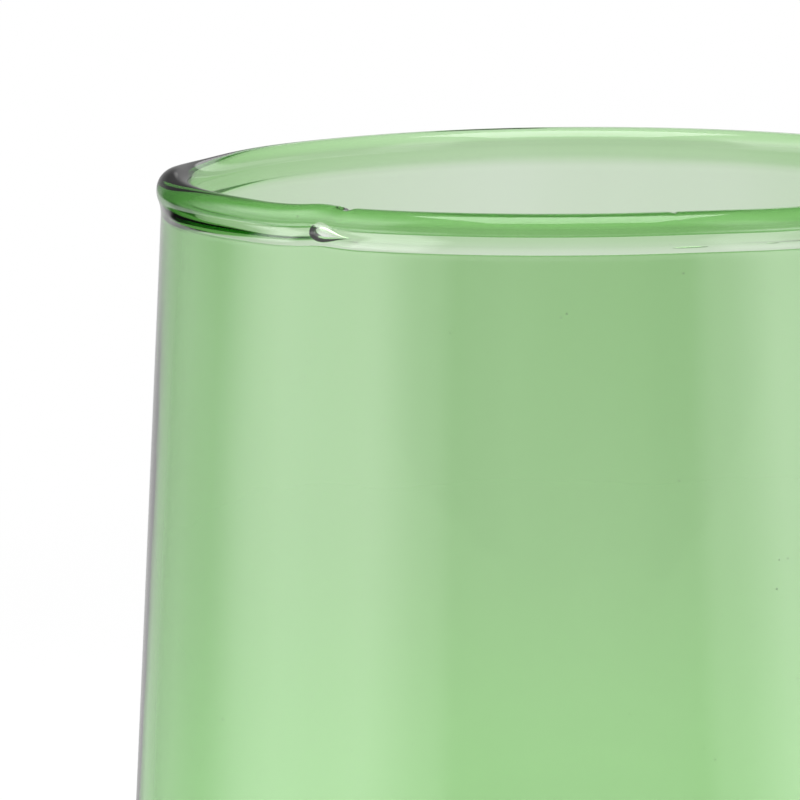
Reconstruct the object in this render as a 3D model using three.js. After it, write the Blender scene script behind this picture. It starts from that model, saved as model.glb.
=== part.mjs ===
// A green glass tumbler: a thin straight wall that leans out towards the foot, a round
// fire-polished bead at the lip, and a base with a rounded heel and a shallow punt.
// Units are millimetres and +Z is up. The origin is the centre of the resting plane.
// Every zone is a solid of revolution about +Z, and the zones meet at flat fused seams.
import * as THREE from "three";

// Overall size
const HEIGHT = 92;
const RIM_DIAMETER = 76;

// Side wall: its thickness is measured level, and it leans out by LEAN_DEGREES on the way down
const WALL_THICKNESS = 2.2;
const LEAN_DEGREES = 3.4;

// Lip: a round bead that stands a little proud of the outside of the wall
const BEAD_DIAMETER = 3.4;
const BEAD_PROUD = 0.5;
const OUTER_NECK_RADIUS = 4;
const INNER_NECK_RADIUS = 2.5;

// Base: the floor's thickness over the foot ring, the heel radii, and the punt under the floor
const FLOOR_THICKNESS = 4.5;
const OUTER_HEEL_RADIUS = 9;
const INNER_HEEL_RADIUS = 7;
const FOOT_RING_WIDTH = 5;
const PUNT_DEPTH = 1.6;

// Fused seams, as the straight wall left between a seam and the curve nearest to it
const RIM_SEAM_MARGIN = 1.5;
const BASE_SEAM_MARGIN = 2;

// Facets
const SIDES = 72;
const BEAD_STEPS = 20;
const NECK_STEPS = 4;
const HEEL_STEPS = 8;
const PUNT_STEPS = 6;

// Look of the glass
const GLASS_COLOUR = 0x6fc065;
const GLASS_ROUGHNESS = 0.03;
const GLASS_OPACITY = 0.45;

// The section lies in the half plane of radius (x) and height (y).
const lean = THREE.MathUtils.degToRad(LEAN_DEGREES);
const beadRadius = BEAD_DIAMETER / 2;
const beadCentre = new THREE.Vector2(RIM_DIAMETER / 2 - beadRadius, HEIGHT - beadRadius);

// Radii of the two faces of the wall at any height
const outerWall = (z) => RIM_DIAMETER / 2 - BEAD_PROUD + Math.tan(lean) * (beadCentre.y - z);
const innerWall = (z) => outerWall(z) - WALL_THICKNESS;
const onOuterWall = (z) => new THREE.Vector2(outerWall(z), z);
const onInnerWall = (z) => new THREE.Vector2(innerWall(z), z);

// The wall's directions: square to its outer face, square to its inner face, and up along it
const outward = new THREE.Vector2(Math.cos(lean), Math.sin(lean));
const inward = outward.clone().negate();
const upwards = new THREE.Vector2(-Math.sin(lean), Math.cos(lean));

const angleOf = (from, to) => Math.atan2(to.y - from.y, to.x - from.x);
const shortTurn = (from, to) => Math.atan2(Math.sin(to - from), Math.cos(to - from));

// Points along an arc that starts at one angle and turns through another, both ends included
function arc(centre, radius, start, turn, steps) {
  return Array.from({ length: steps + 1 }, (_, i) => {
    const angle = start + (turn * i) / steps;
    return new THREE.Vector2(centre.x + radius * Math.cos(angle), centre.y + radius * Math.sin(angle));
  });
}

// A neck: the arc that eases a face of the wall into the bead. It touches the face from the side
// that the normal looks to, and touches the bead from outside. Its points run up to the bead.
function neck(wallPoint, normal, radius) {
  const level = wallPoint.clone().addScaledVector(normal, radius);
  const fromBead = level.clone().sub(beadCentre);
  const along = fromBead.dot(upwards);
  const reach = beadRadius + radius;
  const climb = -along - Math.sqrt(along * along - fromBead.lengthSq() + reach * reach);
  const centre = level.addScaledVector(upwards, climb);
  const onWall = centre.clone().addScaledVector(normal, -radius);
  const start = angleOf(centre, onWall);
  const turn = shortTurn(start, angleOf(centre, beadCentre));
  return {
    points: arc(centre, radius, start, turn, NECK_STEPS),
    lowest: onWall.y,
    beadAngle: angleOf(beadCentre, centre),
  };
}

// A heel: the arc inside the corner of a level face and a face of the wall. Its points run up
// from the level face.
function heel(levelZ, wallRadiusAt, radius) {
  const centreZ = levelZ + radius;
  const centre = new THREE.Vector2(wallRadiusAt(centreZ) - radius / Math.cos(lean), centreZ);
  const points = arc(centre, radius, -Math.PI / 2, Math.PI / 2 + lean, HEEL_STEPS);
  return { points, highest: points.at(-1).y, levelRadius: centre.x };
}

const outerNeck = neck(onOuterWall(beadCentre.y), outward, OUTER_NECK_RADIUS);
const innerNeck = neck(onInnerWall(beadCentre.y), inward, INNER_NECK_RADIUS);
const outerHeel = heel(0, outerWall, OUTER_HEEL_RADIUS);
const innerHeel = heel(FLOOR_THICKNESS, innerWall, INNER_HEEL_RADIUS);

const rimSeamZ = Math.min(outerNeck.lowest, innerNeck.lowest) - RIM_SEAM_MARGIN;
const baseSeamZ = Math.max(outerHeel.highest, innerHeel.highest) + BASE_SEAM_MARGIN;

// Turns a section about +Z. Each section runs anticlockwise, seen with radius to the right and
// height up. A ring's section closes on itself, and any other starts and ends on the axis.
function revolved(name, section) {
  const geometry = new THREE.LatheGeometry(section, SIDES);
  geometry.rotateX(Math.PI / 2);
  const glass = new THREE.MeshStandardMaterial({
    color: GLASS_COLOUR,
    roughness: GLASS_ROUGHNESS,
    metalness: 0,
    transparent: true,
    opacity: GLASS_OPACITY,
  });
  const mesh = new THREE.Mesh(geometry, glass);
  mesh.name = name;
  return mesh;
}

const ring = (name, section) => revolved(name, [...section, section[0].clone()]);

// The lip: across the seam, up the outside, round the bead and down the inside
function rimBead() {
  const overTheTop = THREE.MathUtils.euclideanModulo(innerNeck.beadAngle - outerNeck.beadAngle, 2 * Math.PI);
  const bead = arc(beadCentre, beadRadius, outerNeck.beadAngle, overTheTop, BEAD_STEPS);
  return ring("rim_bead", [
    onInnerWall(rimSeamZ),
    onOuterWall(rimSeamZ),
    ...outerNeck.points,
    ...bead.slice(1, -1),
    ...innerNeck.points.toReversed(),
  ]);
}

// The straight wall between the two seams
function sideWall() {
  return ring("side_wall", [
    onInnerWall(baseSeamZ),
    onOuterWall(baseSeamZ),
    onOuterWall(rimSeamZ),
    onInnerWall(rimSeamZ),
  ]);
}

// The floor and its heel: out under the punt and the foot ring, up the heel, across the seam and
// back over the inside of the floor
function base() {
  const puntRadius = outerHeel.levelRadius - FOOT_RING_WIDTH;
  const domeRadius = (puntRadius * puntRadius + PUNT_DEPTH * PUNT_DEPTH) / (2 * PUNT_DEPTH);
  const domeCentre = new THREE.Vector2(0, PUNT_DEPTH - domeRadius);
  const domeTurn = angleOf(domeCentre, new THREE.Vector2(puntRadius, 0)) - Math.PI / 2;
  const punt = arc(domeCentre, domeRadius, Math.PI / 2, domeTurn, PUNT_STEPS);
  return revolved("base", [
    new THREE.Vector2(0, PUNT_DEPTH),
    ...punt.slice(1),
    ...outerHeel.points,
    onOuterWall(baseSeamZ),
    onInnerWall(baseSeamZ),
    ...innerHeel.points.toReversed(),
    new THREE.Vector2(0, FLOOR_THICKNESS),
  ]);
}

const tumbler = new THREE.Group();
tumbler.name = "glass_tumbler";
tumbler.add(rimBead(), sideWall(), base());

export default tumbler;
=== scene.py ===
"""Looks of the green glass tumbler: one continuous body of tinted, slightly uneven glass on a pale floor.

Lengths are in metres, +Z is up, and azimuths turn from +X towards +Y, so the viewer stands at -90 degrees.
"""
import math
import random

import bpy
from mathutils import Matrix, Vector


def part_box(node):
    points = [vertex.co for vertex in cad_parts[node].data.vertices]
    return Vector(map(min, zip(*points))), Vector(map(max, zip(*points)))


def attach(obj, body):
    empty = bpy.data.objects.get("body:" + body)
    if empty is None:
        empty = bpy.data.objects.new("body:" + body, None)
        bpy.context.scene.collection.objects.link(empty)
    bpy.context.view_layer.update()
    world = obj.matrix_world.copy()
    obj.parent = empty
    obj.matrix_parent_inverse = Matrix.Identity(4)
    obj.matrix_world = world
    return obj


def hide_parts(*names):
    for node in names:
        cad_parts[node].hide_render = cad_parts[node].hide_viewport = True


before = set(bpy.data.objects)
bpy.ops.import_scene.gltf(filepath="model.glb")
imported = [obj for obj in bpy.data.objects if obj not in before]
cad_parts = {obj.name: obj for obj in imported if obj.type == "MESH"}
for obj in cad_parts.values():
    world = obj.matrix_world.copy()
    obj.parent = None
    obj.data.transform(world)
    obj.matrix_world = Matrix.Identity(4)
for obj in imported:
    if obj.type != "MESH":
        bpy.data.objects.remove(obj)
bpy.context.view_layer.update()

MM = 0.001

# The solids give the overall size
RIM_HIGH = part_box("rim_bead")[1]
HEIGHT = RIM_HIGH[2]
RIM_RADIUS = RIM_HIGH[0]

# The section of the glass, as on the solids
WALL_THICKNESS = 2.2 * MM
LEAN = math.radians(3.4)
BEAD_RADIUS = 1.7 * MM
BEAD_PROUD = 0.5 * MM
OUTER_NECK_RADIUS = 4 * MM
INNER_NECK_RADIUS = 2.5 * MM
FLOOR_THICKNESS = 4.5 * MM
OUTER_HEEL_RADIUS = 9 * MM
INNER_HEEL_RADIUS = 7 * MM
FOOT_RING_WIDTH = 5 * MM
PUNT_DEPTH = 1.6 * MM

# Mesh fineness
SIDES = 432
BEAD_STEPS = 56
NECK_STEPS = 10
HEEL_STEPS = 16
WALL_STEPS = 36
FLAT_STEPS = 6

# Uneven rim: azimuth and spread in degrees, and how far it rises there
LIP_DEPTH = 8 * MM
RIM_RISES = (
    (180, 9, 0.30 * MM),
    (158, 10, -0.15 * MM),
    (100, 20, 0.08 * MM),
    (50, 16, -0.09 * MM),
    (-58, 10, -0.19 * MM),
    (-137, 5, -0.08 * MM),
    (-127, 3.5, 0.20 * MM),
)

# Uneven wall: how far it waves, waves in a turn, waves in the height, and a starting phase
OUTER_WAVES = (
    (0.030 * MM, 5, 0.35, 0.4),
    (0.018 * MM, 11, -0.6, 1.9),
    (0.008 * MM, 23, 0.9, 4.1),
)
INNER_WAVES = (
    (0.035 * MM, 4, -0.4, 2.2),
    (0.020 * MM, 9, 0.5, 0.9),
    (0.008 * MM, 19, -0.8, 3.3),
)
FOOT_CALM = 6 * MM

# Nicks in the top of the rim: azimuth in degrees, half width along the rim, and depth
NICKS = (
    (-122.8, 0.50 * MM, 0.40 * MM),
    (-76.4, 0.30 * MM, 0.12 * MM),
)
NICK_LEAN = math.radians(100)
NICK_SPREAD = math.radians(32)
NICK_COLUMNS = 12
NICK_REACH = 2.5

# The teardrop bubble in the rim: its round head, its length along the rim, and its place in the bead
BUBBLE_AZIMUTH = math.radians(-128.5)
BUBBLE_LENGTH = 5.0 * MM
BUBBLE_RADIUS = 0.80 * MM
BUBBLE_OUT = 0.25 * MM
BUBBLE_DOWN = 0.60 * MM
BUBBLE_DIP = math.radians(3.5)
BUBBLE_STEPS = 28
BUBBLE_SIDES = 24

# The bubble is widest at a share of its length, and its tail tapers with a power
BUBBLE_WIDEST = 0.25
BUBBLE_TAPER = 0.85

# Drawn-out bubbles below the bead: azimuth in degrees, height, length and radius
STREAKS = (
    (-74.5, 89.0 * MM, 3.2 * MM, 0.07 * MM),
    (-62.6, 89.0 * MM, 1.3 * MM, 0.06 * MM),
)
STREAK_DEPTH = 0.6

# Seeds, the specks of gas in the wall. Depths are shares of the wall's thickness from its inner face,
# and sizes are shares of the seeds' radius.
SEED_RADIUS = 0.075 * MM
SEED_RINGS = 6
SEED_SIDES = 8
SEED_CHANCE = 7

# Seeds that show from the front, by azimuth in degrees and height in millimetres
SHOWN_SEEDS = (
    (-130.8, 90.7), (-91.2, 83.4), (-75.5, 86.7), (-73.2, 78.5), (-70.7, 78.5), (-64.0, 85.2),
    (-76.8, 68.9), (-73.1, 67.6), (-63.4, 61.5), (-61.9, 61.5), (-63.5, 58.9), (-142.6, 45.8),
    (-126.0, 50.3), (-126.0, 49.3), (-119.9, 44.9), (-153.2, 50.6), (-153.1, 49.6), (-135.4, 41.0),
)
SHOWN_SIZES = (0.8, 1.3)
SHOWN_DEPTHS = (0.4, 0.8)

# A scatter of finer seeds all round, some of them drawn out
SCATTERED_SEEDS = 90
SCATTER_SIZES = (0.4, 1.0)
SCATTER_STRETCHES = (1.0, 1.8)
SCATTER_HEIGHTS = (0.15, 0.93)
SCATTER_DEPTHS = (0.25, 0.75)

# Tint of the glass: the light that is left after two millimetres is about (0.55, 0.77, 0.48)
TINT = (0.40, 0.744, 0.26, 1)
TINT_DENSITY = 500.0
GLASS_IOR = 1.5

# Cords, the faint streaks in the melt, and the ripple of the fire-polished faces
WHITE = (1, 1, 1, 1)
CORD_COLOUR = (0.985, 0.99, 0.982, 1)
CORD_STRETCH = (1.0, 1.0, 0.2)
CORD_SCALE = 90.0
CORD_DETAIL = 3.0
CORD_RANGE = (0.35, 0.7)
RIPPLE_STRETCH = (1.0, 1.0, 0.5)
RIPPLE_SCALE = 220.0
RIPPLE_DETAIL = 2.0
RIPPLE_DEPTH = 0.006 * MM

# Floor: a sheet of paper, lit round the glass and plain white further off
FLOOR_SIZE = 3.0
FLOOR_FRONT = -1.3
FLOOR_DROP = 0.2 * MM
PAPER_COLOUR = (0.78, 0.78, 0.78, 1)
PAPER_GLOW = 0.46
PAPER_GLOW_THROUGH_GLASS = 0.63
PAPER_FADE = (0.12, 0.42)

# Backdrop, as it shows through the glass, with dusk towards both sides of it. The spans are of how far
# a direction turns aside, and the stops are of a direction's height and a share.
BACKDROP_COLOUR = (1.22, 0.97, 1.35, 1)
DUSK_COLOUR = (0.3, 0.35, 0.3, 1)
DUSK_START = (0.3, 0.42)
DUSK_END = (0.75, 0.85)
DUSK_STOPS = ((0.0, 1.0), (0.05, 1.0), (0.09, 0.0))

# Light from the room on the floor
FILL_COLOUR = (0.25, 0.25, 0.25, 1)

# The mirrored room: where it turns from one part to the next, as spans of a direction's X or Y
BEHIND = (-0.1, 0.3)
LEFTMOST = (-0.45, -0.35)
LEFTWARD = (-0.1, 0.02)
LEFT_SIDE = (-0.05, 0.05)

# The mirrored room, as stops of a direction's height and a level: in front, at the left behind, a little
# left of straight behind, and straight behind
FRONT_STOPS = ((-0.08, 1.0), (-0.045, 1.0), (-0.02, 0.6), (0.0, 0.25), (0.05, 0.1))
LEFT_STOPS = (
    (-0.6, 0.9), (-0.5, 0.02), (-0.2, 0.02), (-0.17, 0.95), (-0.1, 0.75), (-0.075, 0.75),
    (-0.04, 0.08), (0.42, 0.08),
)
MIDDLE_STOPS = (
    (-0.6, 0.9), (-0.45, 0.02), (-0.28, 0.02), (-0.22, 0.4), (-0.17, 0.7), (-0.085, 0.7),
    (-0.06, 0.4), (0.0, 0.35), (0.08, 0.25), (0.2, 0.12), (0.42, 0.1),
)
BACK_STOPS = (
    (-0.5, 0.9), (-0.35, 0.6), (-0.22, 0.45), (0.05, 0.32), (0.17, 0.32), (0.2, 1.0),
    (0.36, 1.0), (0.42, 0.1),
)

# Pale panels at both sides: stops of an azimuth in degrees, from the side towards the back, and of a
# direction's height
PANEL_STOPS = (
    (-58, 0.0), (-53, 0.3), (-47, 0.42), (-34, 1.0), (-5, 1.0), (6, 0.8),
    (12, 0.6), (19, 0.32), (24, 0.2), (40, 0.14), (52, 0.0),
)
PANEL_HEIGHTS = ((-0.2, 0.0), (-0.17, 1.0), (0.0, 1.0), (0.1, 0.25), (0.45, 0.1))
PANEL_LEVEL = 3.5

# A low and a high light at the left, by the same stops, and weaker ones at the right
LEFT_LOW_STOPS = (
    (-52, 0.0), (-44, 0.8), (-24, 1.0), (-20, 0.15), (-6, 0.15), (-2, 1.0), (6, 1.0), (16, 0.0),
)
LEFT_HIGH_STOPS = ((-38, 0.0), (-28, 0.9), (0, 0.9), (24, 1.0), (42, 0.2), (50, 0.0))
RIGHT_STOPS = ((-51, 0.0), (-44, 0.4), (-28, 0.45), (-16, 0.0))
LOW_HEIGHTS = ((-0.8, 0.0), (-0.7, 1.0), (-0.33, 1.0), (-0.27, 0.0))
LOW_LEVEL = 4.0
HIGH_HEIGHTS = (
    (0.1, 0.0), (0.2, 0.5), (0.35, 0.6), (0.5, 1.0), (0.7, 1.0), (0.84, 0.25), (0.9, 0.0),
)
HIGH_LEVEL = 3.2

# The softbox over the glass
SOFTBOX_PLACE = (0, -0.05, 0.89)
SOFTBOX_WIDTH = 0.54
SOFTBOX_LENGTH = 0.72
SOFTBOX_RADIANCE = 4.0

# Camera, as the photograph is framed: it looks past the bead's ring, turned aside, tipped and rolled
CAMERA_DISTANCE = 0.650
CAMERA_ELEVATION = math.radians(6.307)
CAMERA_YAW = math.radians(-1.415)
CAMERA_PITCH = math.radians(-1.696)
CAMERA_ROLL = math.radians(-0.662)
FOCAL_PIXELS = 7147
IMAGE_PIXELS = 800
SENSOR_WIDTH = 36
CLIP_START = 0.01
CLIP_END = 100

# How often light may turn in the glass
BOUNCES = 32
GLOSSY_BOUNCES = 12

# Levels of a ramp that falls
FALLING = (1.0, 0.0)

BEAD_CENTRE = Vector((RIM_RADIUS - BEAD_RADIUS, HEIGHT - BEAD_RADIUS))
OUTWARD = Vector((math.cos(LEAN), math.sin(LEAN)))
UPWARDS = Vector((-math.sin(LEAN), math.cos(LEAN)))


def outer_wall(z):
    return RIM_RADIUS - BEAD_PROUD + math.tan(LEAN) * (BEAD_CENTRE.y - z)


def inner_wall(z):
    return outer_wall(z) - WALL_THICKNESS


def angle_of(start, end):
    return math.atan2(end.y - start.y, end.x - start.x)


def short_turn(start, end):
    return math.atan2(math.sin(end - start), math.cos(end - start))


def arc(centre, radius, start, turn, steps):
    angles = [start + turn * i / steps for i in range(steps + 1)]
    return [centre + radius * Vector((math.cos(a), math.sin(a))) for a in angles]


def eased_shares(steps):
    """Shares from 0 to 1, closer together near both ends"""
    return [0.5 - 0.5 * math.cos(math.pi * i / steps) for i in range(steps + 1)]


def line(start, end, steps):
    return [start.lerp(end, share) for share in eased_shares(steps)]


def neck(wall_radius, normal, radius):
    """The arc that eases a face of the wall into the bead, and the bead's angle where it ends"""
    level = Vector((wall_radius, BEAD_CENTRE.y)) + radius * normal
    from_bead = level - BEAD_CENTRE
    along = from_bead.dot(UPWARDS)
    reach = BEAD_RADIUS + radius
    climb = -along - math.sqrt(along * along - from_bead.length_squared + reach * reach)
    centre = level + climb * UPWARDS
    start = angle_of(centre, centre - normal)
    turn = short_turn(start, angle_of(centre, BEAD_CENTRE))
    return arc(centre, radius, start, turn, NECK_STEPS), angle_of(BEAD_CENTRE, centre)


def heel(level_z, wall_radius_at, radius):
    """The arc inside the corner of a level face and a face of the wall"""
    centre_z = level_z + radius
    centre = Vector((wall_radius_at(centre_z) - radius / math.cos(LEAN), centre_z))
    return arc(centre, radius, -math.pi / 2, math.pi / 2 + LEAN, HEEL_STEPS)


def punt(radius):
    """The shallow dome under the floor, from the axis out to the foot ring"""
    dome_radius = (radius ** 2 + PUNT_DEPTH ** 2) / (2 * PUNT_DEPTH)
    centre = Vector((0, PUNT_DEPTH - dome_radius))
    turn = angle_of(centre, Vector((radius, 0))) - math.pi / 2
    return arc(centre, dome_radius, math.pi / 2, turn, FLAT_STEPS)


def joined(runs):
    """One run of points from several, each of which starts where the last one ends"""
    points = [runs[0][0]]
    for run in runs:
        points += run[1:]
    return points


def section():
    """The outside from the axis under the punt to the top of the lip, and the inside from there to the axis"""
    outer_neck, outer_angle = neck(outer_wall(BEAD_CENTRE.y), OUTWARD, OUTER_NECK_RADIUS)
    inner_neck, inner_angle = neck(inner_wall(BEAD_CENTRE.y), -OUTWARD, INNER_NECK_RADIUS)
    outer_heel = heel(0.0, outer_wall, OUTER_HEEL_RADIUS)
    inner_heel = heel(FLOOR_THICKNESS, inner_wall, INNER_HEEL_RADIUS)
    over_the_top = (inner_angle - outer_angle) % (2 * math.pi)
    bead = arc(BEAD_CENTRE, BEAD_RADIUS, outer_angle, over_the_top, BEAD_STEPS)
    dome = punt(outer_heel[0].x - FOOT_RING_WIDTH)
    outside = [
        dome,
        line(dome[-1], outer_heel[0], FLAT_STEPS),
        outer_heel,
        line(outer_heel[-1], outer_neck[0], WALL_STEPS),
        outer_neck,
        bead[: BEAD_STEPS // 2 + 1],
    ]
    inside = [
        bead[BEAD_STEPS // 2 :],
        inner_neck[::-1],
        line(inner_neck[0], inner_heel[-1], WALL_STEPS),
        inner_heel[::-1],
        line(inner_heel[0], Vector((0, FLOOR_THICKNESS)), FLAT_STEPS),
    ]
    return joined(outside), joined(inside)


def smooth(share):
    share = min(max(share, 0.0), 1.0)
    return share * share * (3 - 2 * share)


def hump(offset, spread):
    return math.exp(-((offset / spread) ** 2))


def rim_rise(azimuth):
    """How far the lip stands above its level at an azimuth"""
    return sum(
        rise * hump(short_turn(math.radians(centre), azimuth), math.radians(spread))
        for centre, spread, rise in RIM_RISES
    )


def waviness(waves, azimuth, z):
    """How far a face of the wall stands out of true"""
    climb = 2 * math.pi * z / HEIGHT
    return sum(
        size * math.sin(turns * azimuth + rows * climb + phase)
        for size, turns, rows, phase in waves
    )


def nick_depth(point, azimuth):
    """How deep the top of the lip is nicked at a point of the section"""
    from_bead = point - BEAD_CENTRE
    if from_bead.length > 1.01 * BEAD_RADIUS:
        return 0.0
    across = hump(short_turn(NICK_LEAN, math.atan2(from_bead.y, from_bead.x)), NICK_SPREAD)
    along = sum(
        depth * hump(RIM_RADIUS * short_turn(math.radians(centre), azimuth), half_width)
        for centre, half_width, depth in NICKS
    )
    return across * along


def uneven(point, waves, azimuth):
    """A point of the section where hand-made glass puts it at an azimuth"""
    lip = smooth((point.y - HEIGHT + LIP_DEPTH) / (LIP_DEPTH - 2 * BEAD_RADIUS))
    calm = smooth(point.y / FOOT_CALM)
    moved = point + Vector((calm * waviness(waves, azimuth, point.y), lip * rim_rise(azimuth)))
    depth = nick_depth(point, azimuth)
    if depth > 0:
        moved += depth * (BEAD_CENTRE - point).normalized()
    return moved


def turned(point, azimuth):
    return (point.x * math.cos(azimuth), point.x * math.sin(azimuth), point.y)


def column_azimuths():
    """Even columns round the axis, with closer ones across each nick"""
    azimuths = {2 * math.pi * i / SIDES - math.pi for i in range(SIDES)}
    for centre, half_width, _ in NICKS:
        reach = NICK_REACH * half_width / RIM_RADIUS
        start = math.radians(centre) - reach
        azimuths |= {start + 2 * reach * i / NICK_COLUMNS for i in range(NICK_COLUMNS + 1)}
    return sorted(azimuths)


def add_body(verts, faces):
    """The body of the glass, turned about the axis with one vertex at each pole"""
    outside, inside = section()
    rings = [(point, OUTER_WAVES) for point in outside[1:]]
    rings += [(point, INNER_WAVES) for point in inside[1:-1]]
    azimuths = column_azimuths()
    count = len(azimuths)
    first = len(verts)
    verts.append((0, 0, outside[0].y))
    for point, waves in rings:
        verts += [turned(uneven(point, waves, azimuth), azimuth) for azimuth in azimuths]
    verts.append((0, 0, inside[-1].y))
    last = len(verts) - 1
    top = last - count
    for i in range(count):
        j = (i + 1) % count
        faces.append((first, first + 1 + j, first + 1 + i))
        for row in range(len(rings) - 1):
            low = first + 1 + row * count
            faces.append((low + i, low + j, low + count + j, low + count + i))
        faces.append((top + i, top + j, last))


def add_cavity(verts, faces, centre, axis, out, profile, sides):
    """A closed hollow along an axis, its faces turned to the gas inside; profile holds places and radii"""
    across = axis.cross(out).normalized()
    first = len(verts)
    verts.append(centre + profile[0][0] * axis)
    for along, radius in profile[1:-1]:
        for i in range(sides):
            angle = 2 * math.pi * i / sides
            spoke = math.cos(angle) * out + math.sin(angle) * across
            verts.append(centre + along * axis + radius * spoke)
    verts.append(centre + profile[-1][0] * axis)
    last = len(verts) - 1
    for i in range(sides):
        j = (i + 1) % sides
        faces.append((first, first + 1 + i, first + 1 + j))
        for row in range(len(profile) - 3):
            low = first + 1 + row * sides
            faces.append((low + i, low + sides + i, low + sides + j, low + j))
        faces.append((last - sides + j, last - sides + i, last))


def grain_profile(length, radius, steps):
    """A ball, or a long grain where the length is more than twice the radius"""
    angles = [math.pi * i / steps for i in range(steps + 1)]
    return [(-0.5 * length * math.cos(a), radius * math.sin(a)) for a in angles]


def drop_profile(length, radius, steps):
    """A teardrop with its round head at the start"""
    profile = []
    for share in eased_shares(steps):
        if share < BUBBLE_WIDEST:
            swell = math.sqrt(1 - (1 - share / BUBBLE_WIDEST) ** 2)
        else:
            tail = (share - BUBBLE_WIDEST) / (1 - BUBBLE_WIDEST)
            swell = 0.5 + 0.5 * math.cos(math.pi * tail ** BUBBLE_TAPER)
        profile.append((share * length, radius * swell))
    return profile


def directions(azimuth):
    """Out from the axis, and round it, at an azimuth"""
    out = Vector((math.cos(azimuth), math.sin(azimuth), 0))
    return out, Vector((-out.y, out.x, 0))


def add_bubble(verts, faces):
    out, round_axis = directions(BUBBLE_AZIMUTH)
    head = (BEAD_CENTRE.x + BUBBLE_OUT) * out
    head.z = BEAD_CENTRE.y - BUBBLE_DOWN + rim_rise(BUBBLE_AZIMUTH)
    axis = (round_axis - math.tan(BUBBLE_DIP) * Vector((0, 0, 1))).normalized()
    profile = drop_profile(BUBBLE_LENGTH, BUBBLE_RADIUS, BUBBLE_STEPS)
    add_cavity(verts, faces, head, axis, out, profile, BUBBLE_SIDES)


def add_seed(verts, faces, azimuth, z, depth, length, radius):
    """A grain of gas in the wall, drawn out round the axis"""
    out, round_axis = directions(azimuth)
    centre = (inner_wall(z) + depth * WALL_THICKNESS) * out
    centre.z = z
    profile = grain_profile(length, radius, SEED_RINGS)
    add_cavity(verts, faces, centre, round_axis, out, profile, SEED_SIDES)


def add_seeds(verts, faces):
    chance = random.Random(SEED_CHANCE)
    for degrees, z, length, radius in STREAKS:
        add_seed(verts, faces, math.radians(degrees), z, STREAK_DEPTH, length, radius)
    for degrees, height in SHOWN_SEEDS:
        radius = SEED_RADIUS * chance.uniform(*SHOWN_SIZES)
        depth = chance.uniform(*SHOWN_DEPTHS)
        add_seed(verts, faces, math.radians(degrees), height * MM, depth, 2 * radius, radius)
    for _ in range(SCATTERED_SEEDS):
        radius = SEED_RADIUS * chance.uniform(*SCATTER_SIZES)
        length = 2 * radius * chance.uniform(*SCATTER_STRETCHES)
        azimuth = chance.uniform(-math.pi, math.pi)
        z = HEIGHT * chance.uniform(*SCATTER_HEIGHTS)
        depth = chance.uniform(*SCATTER_DEPTHS)
        add_seed(verts, faces, azimuth, z, depth, length, radius)


def add_node(tree, kind, settings=None, inputs=None):
    """A new node with its settings and its inputs, each input a value or another node's output"""
    node = tree.nodes.new(kind)
    for name, value in (settings or {}).items():
        setattr(node, name, value)
    for key, value in (inputs or {}).items():
        if isinstance(value, bpy.types.NodeSocket):
            tree.links.new(value, node.inputs[key])
        else:
            node.inputs[key].default_value = value
    return node


def math_node(tree, operation, first, second=0.0):
    return add_node(tree, "ShaderNodeMath", {"operation": operation}, {0: first, 1: second}).outputs[0]


def vector_node(tree, operation, first, second=(0.0, 0.0, 0.0)):
    settings = {"operation": operation}
    return add_node(tree, "ShaderNodeVectorMath", settings, {0: first, 1: second}).outputs


def ramp_node(tree, value, span, levels=(0.0, 1.0), interpolation="SMOOTHSTEP"):
    """A number that goes from one level to another while a value crosses a span"""
    settings = {"interpolation_type": interpolation}
    inputs = {
        "Value": value,
        "From Min": span[0],
        "From Max": span[1],
        "To Min": levels[0],
        "To Max": levels[1],
    }
    return add_node(tree, "ShaderNodeMapRange", settings, inputs).outputs[0]


def mix_numbers(tree, share, first, second):
    return add_node(tree, "ShaderNodeMix", inputs={0: share, 2: first, 3: second}).outputs[0]


def mix_colours(tree, share, first, second):
    settings = {"data_type": "RGBA"}
    return add_node(tree, "ShaderNodeMix", settings, {0: share, 6: first, 7: second}).outputs[2]


def grey_ramp(tree, value, limit, stops):
    """A level of grey that follows a value between -limit and limit, by stops of the value and a level"""
    share = ramp_node(tree, value, (-limit, limit), interpolation="LINEAR")
    node = add_node(tree, "ShaderNodeValToRGB", inputs={0: share})
    elements = node.color_ramp.elements
    while len(elements) < len(stops):
        elements.new(1.0)
    for element, (stop, level) in zip(elements, stops):
        element.position = 0.5 + 0.5 * stop / limit
        element.color = (level, level, level, 1)
    return node.outputs["Color"]


def by_height(tree, height, stops):
    """A level of grey that follows a direction's height, from -1 straight down to 1 straight up"""
    return grey_ramp(tree, height, 1.0, stops)


def by_azimuth(tree, azimuth, stops):
    """A level of grey that follows an azimuth from the side, by stops in degrees"""
    return grey_ramp(tree, azimuth, math.pi / 2, [(math.radians(degrees), level) for degrees, level in stops])


def stretched_noise(tree, stretch, scale, detail):
    """Noise in the object's own space, stretched along its axes"""
    position = tree.nodes.new("ShaderNodeTexCoord").outputs["Object"]
    scaled = vector_node(tree, "MULTIPLY", position, stretch)["Vector"]
    inputs = {"Vector": scaled, "Scale": scale, "Detail": detail}
    return add_node(tree, "ShaderNodeTexNoise", inputs=inputs).outputs["Fac"]


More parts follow.
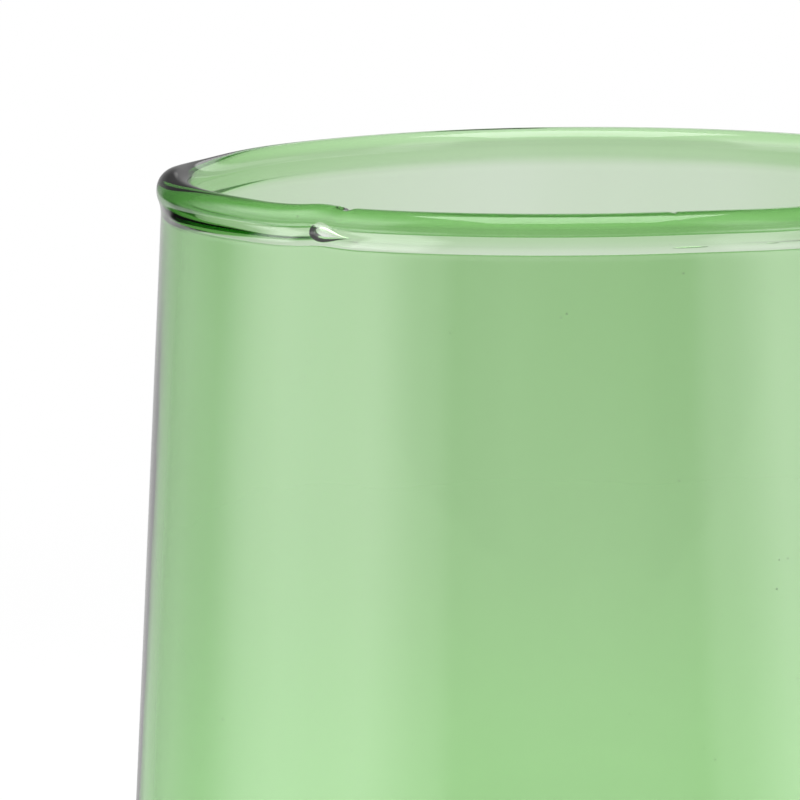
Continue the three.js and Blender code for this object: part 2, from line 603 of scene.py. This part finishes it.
def glass_material():
    """Clear glass, tinted through its thickness, with faint cords in the melt and a fire-polished ripple"""
    material = bpy.data.materials.new("green_glass")
    material.use_nodes = True
    tree = material.node_tree
    shader = tree.nodes["Principled BSDF"]
    shader.inputs["Roughness"].default_value = 0.0
    shader.inputs["IOR"].default_value = GLASS_IOR
    shader.inputs["Transmission Weight"].default_value = 1.0
    cords = ramp_node(tree, stretched_noise(tree, CORD_STRETCH, CORD_SCALE, CORD_DETAIL), CORD_RANGE)
    tree.links.new(mix_colours(tree, cords, WHITE, CORD_COLOUR), shader.inputs["Base Color"])
    ripple = stretched_noise(tree, RIPPLE_STRETCH, RIPPLE_SCALE, RIPPLE_DETAIL)
    bump_inputs = {"Strength": 1.0, "Distance": RIPPLE_DEPTH, "Height": ripple}
    bump = add_node(tree, "ShaderNodeBump", inputs=bump_inputs)
    tree.links.new(bump.outputs["Normal"], shader.inputs["Normal"])
    absorption = tree.nodes.new("ShaderNodeVolumeAbsorption")
    absorption.inputs["Color"].default_value = TINT
    absorption.inputs["Density"].default_value = TINT_DENSITY
    tree.links.new(absorption.outputs["Volume"], tree.nodes["Material Output"].inputs["Volume"])
    return material


def make_tumbler():
    verts = []
    faces = []
    add_body(verts, faces)
    add_bubble(verts, faces)
    add_seeds(verts, faces)
    mesh = bpy.data.meshes.new("tumbler_glass")
    mesh.from_pydata(verts, [], faces)
    mesh.polygons.foreach_set("use_smooth", [True] * len(mesh.polygons))
    mesh.update()
    mesh.materials.append(glass_material())
    piece = bpy.data.objects.new("tumbler_glass", mesh)
    bpy.context.collection.objects.link(piece)
    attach(piece, "root")
    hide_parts("rim_bead", "side_wall", "base")


def floor_material():
    """Paper that is lit near the glass, so that it holds its shadow, and plain white further off"""
    material = bpy.data.materials.new("floor")
    material.use_nodes = True
    tree = material.node_tree
    tree.nodes.remove(tree.nodes["Principled BSDF"])
    path = tree.nodes.new("ShaderNodeLightPath").outputs
    through_glass = path["Is Transmission Ray"]
    seen = math_node(tree, "MAXIMUM", path["Is Camera Ray"], through_glass)
    tint = mix_colours(tree, through_glass, WHITE, BACKDROP_COLOUR)
    glow = mix_numbers(tree, through_glass, PAPER_GLOW, PAPER_GLOW_THROUGH_GLASS)
    lift_inputs = {"Color": tint, "Strength": math_node(tree, "MULTIPLY", seen, glow)}
    lift = add_node(tree, "ShaderNodeEmission", inputs=lift_inputs)
    paper = add_node(tree, "ShaderNodeBsdfDiffuse", inputs={"Color": PAPER_COLOUR})
    near = add_node(tree, "ShaderNodeAddShader", inputs={0: paper.outputs[0], 1: lift.outputs[0]})
    white = add_node(tree, "ShaderNodeEmission", inputs={"Color": tint, "Strength": 1.0})
    position = tree.nodes.new("ShaderNodeTexCoord").outputs["Object"]
    distance = vector_node(tree, "LENGTH", position)["Value"]
    far = math_node(tree, "MULTIPLY", seen, ramp_node(tree, distance, PAPER_FADE))
    sheet_inputs = {0: far, 1: near.outputs[0], 2: white.outputs[0]}
    sheet = add_node(tree, "ShaderNodeMixShader", inputs=sheet_inputs)
    tree.links.new(sheet.outputs[0], tree.nodes["Material Output"].inputs["Surface"])
    return material


def make_floor():
    mesh = bpy.data.meshes.new("floor")
    sides = (-FLOOR_SIZE, FLOOR_SIZE)
    corners = [(x, y, -FLOOR_DROP) for y in (FLOOR_FRONT, FLOOR_SIZE) for x in sides]
    mesh.from_pydata(corners, [], [(0, 1, 3, 2)])
    mesh.materials.append(floor_material())
    floor = bpy.data.objects.new("floor", mesh)
    floor.visible_glossy = False
    bpy.context.collection.objects.link(floor)


def bright_patch(tree, azimuth, height, stops, heights, level):
    """Light from the directions near a side, by stops of their azimuth in degrees and of their height"""
    across = by_azimuth(tree, azimuth, stops)
    glow = math_node(tree, "MULTIPLY", across, by_height(tree, height, heights))
    return math_node(tree, "MULTIPLY", glow, level)


def side_lights(tree, axes):
    """Tall pale panels, the same at both sides, with a low and a high light at each side"""
    height = axes["Z"]
    azimuth = math_node(tree, "ARCTAN2", axes["Y"], math_node(tree, "ABSOLUTE", axes["X"]))
    panels = bright_patch(tree, azimuth, height, PANEL_STOPS, PANEL_HEIGHTS, PANEL_LEVEL)
    left_low = bright_patch(tree, azimuth, height, LEFT_LOW_STOPS, LOW_HEIGHTS, LOW_LEVEL)
    left_high = bright_patch(tree, azimuth, height, LEFT_HIGH_STOPS, HIGH_HEIGHTS, HIGH_LEVEL)
    right_low = bright_patch(tree, azimuth, height, RIGHT_STOPS, LOW_HEIGHTS, LOW_LEVEL)
    right_high = bright_patch(tree, azimuth, height, RIGHT_STOPS, HIGH_HEIGHTS, HIGH_LEVEL)
    left = math_node(tree, "ADD", left_low, left_high)
    right = math_node(tree, "ADD", right_low, right_high)
    at_left = ramp_node(tree, axes["X"], LEFT_SIDE, FALLING)
    return math_node(tree, "ADD", panels, mix_numbers(tree, at_left, right, left))


def mirrored_room(tree, axes):
    """What the glass mirrors: a dim room with a light floor, and lights at both sides"""
    front, left, middle, back = (
        by_height(tree, axes["Z"], stops)
        for stops in (FRONT_STOPS, LEFT_STOPS, MIDDLE_STOPS, BACK_STOPS)
    )
    leftward = ramp_node(tree, axes["X"], LEFTWARD, FALLING)
    leftmost = ramp_node(tree, axes["X"], LEFTMOST, FALLING)
    rear = mix_colours(tree, leftmost, mix_colours(tree, leftward, back, middle), left)
    room = mix_colours(tree, ramp_node(tree, axes["Y"], BEHIND), front, rear)
    return vector_node(tree, "ADD", room, side_lights(tree, axes))["Vector"]


def dusky_backdrop(tree, axes):
    """What shows through the glass above the floor"""
    sideways = math_node(tree, "ABSOLUTE", axes["X"])
    start = ramp_node(tree, sideways, DUSK_START)
    end = ramp_node(tree, sideways, DUSK_END, FALLING)
    aside = math_node(tree, "MULTIPLY", start, end)
    dusk = math_node(tree, "MULTIPLY", aside, by_height(tree, axes["Z"], DUSK_STOPS))
    return mix_colours(tree, dusk, BACKDROP_COLOUR, DUSK_COLOUR)


def make_world():
    """White to the camera, a backdrop through the glass, a dim room where it is mirrored, and fill light"""
    world = bpy.data.worlds.new("studio")
    bpy.context.scene.world = world
    world.use_nodes = True
    tree = world.node_tree
    path = tree.nodes.new("ShaderNodeLightPath").outputs
    direction = tree.nodes.new("ShaderNodeTexCoord").outputs["Generated"]
    axes = add_node(tree, "ShaderNodeSeparateXYZ", inputs={0: direction}).outputs
    fill = mix_colours(tree, path["Is Glossy Ray"], FILL_COLOUR, mirrored_room(tree, axes))
    direct = mix_colours(tree, path["Is Camera Ray"], fill, WHITE)
    colour = mix_colours(tree, path["Is Transmission Ray"], direct, dusky_backdrop(tree, axes))
    tree.links.new(colour, tree.nodes["Background"].inputs["Color"])


def make_softbox():
    """A softbox that hangs level over the glass and lights it from above"""
    data = bpy.data.lights.new("softbox_top", "AREA")
    data.shape = "RECTANGLE"
    data.size = SOFTBOX_WIDTH
    data.size_y = SOFTBOX_LENGTH
    data.energy = SOFTBOX_RADIANCE * math.pi * SOFTBOX_WIDTH * SOFTBOX_LENGTH
    lamp = bpy.data.objects.new("softbox_top", data)
    lamp.location = SOFTBOX_PLACE
    bpy.context.collection.objects.link(lamp)


def make_camera():
    target = Vector((0, 0, BEAD_CENTRE.y))
    from_target = Vector((0, -math.cos(CAMERA_ELEVATION), math.sin(CAMERA_ELEVATION)))
    right = Vector((1, 0, 0))
    up = right.cross(-from_target)
    turn = math.tan(CAMERA_YAW) * right + math.tan(CAMERA_PITCH) * up
    forward = (turn - from_target).normalized()
    right = forward.cross(Vector((0, 0, 1))).normalized()
    up = right.cross(forward)
    rolled_right = math.cos(CAMERA_ROLL) * right + math.sin(CAMERA_ROLL) * up
    rolled_up = math.cos(CAMERA_ROLL) * up - math.sin(CAMERA_ROLL) * right
    data = bpy.data.cameras.new("camera")
    data.sensor_width = SENSOR_WIDTH
    data.lens = FOCAL_PIXELS / IMAGE_PIXELS * SENSOR_WIDTH
    data.clip_start = CLIP_START
    data.clip_end = CLIP_END
    camera = bpy.data.objects.new("camera", data)
    axes = Matrix((rolled_right, rolled_up, -forward)).transposed()
    place = Matrix.Translation(target + CAMERA_DISTANCE * from_target)
    camera.matrix_world = place @ axes.to_4x4()
    bpy.context.collection.objects.link(camera)
    bpy.context.scene.camera = camera


make_tumbler()
make_floor()
make_world()
make_softbox()
make_camera()

scene = bpy.context.scene
scene.view_settings.view_transform = "Standard"
scene.cycles.max_bounces = BOUNCES
scene.cycles.transmission_bounces = BOUNCES
scene.cycles.glossy_bounces = GLOSSY_BOUNCES
